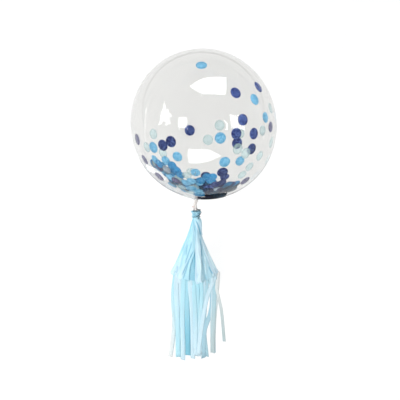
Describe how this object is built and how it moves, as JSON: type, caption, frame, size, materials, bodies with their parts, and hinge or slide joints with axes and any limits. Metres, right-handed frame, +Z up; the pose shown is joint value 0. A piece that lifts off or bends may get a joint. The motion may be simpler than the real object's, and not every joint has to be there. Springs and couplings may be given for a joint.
{
  "type": "confetti balloon",
  "caption": "Clear round confetti balloon lying loose, its gathered neck tied with dark string to a light blue tissue paper tassel with a pleated skirt and cut fringe.",
  "frame": {"origin": "middle of the small flat spot on the balloon's underside, where it rests", "axes": "+Z up, -Y from the balloon along its tassel, +X to the right when looking along +Y"},
  "size_m": [0.3506, 0.7216, 0.3499],
  "materials": {
    "clear_film": "clear glossy balloon film, see-through",
    "dark_string": "dark slate blue string",
    "tissue_paper": "light blue tissue paper, matt and a little see-through"
  },
  "bodies": {
    "root": {"balloon": "clear_film", "tie_string": "dark_string", "tissue_tassel": "tissue_paper"}
  },
  "joints": []
}
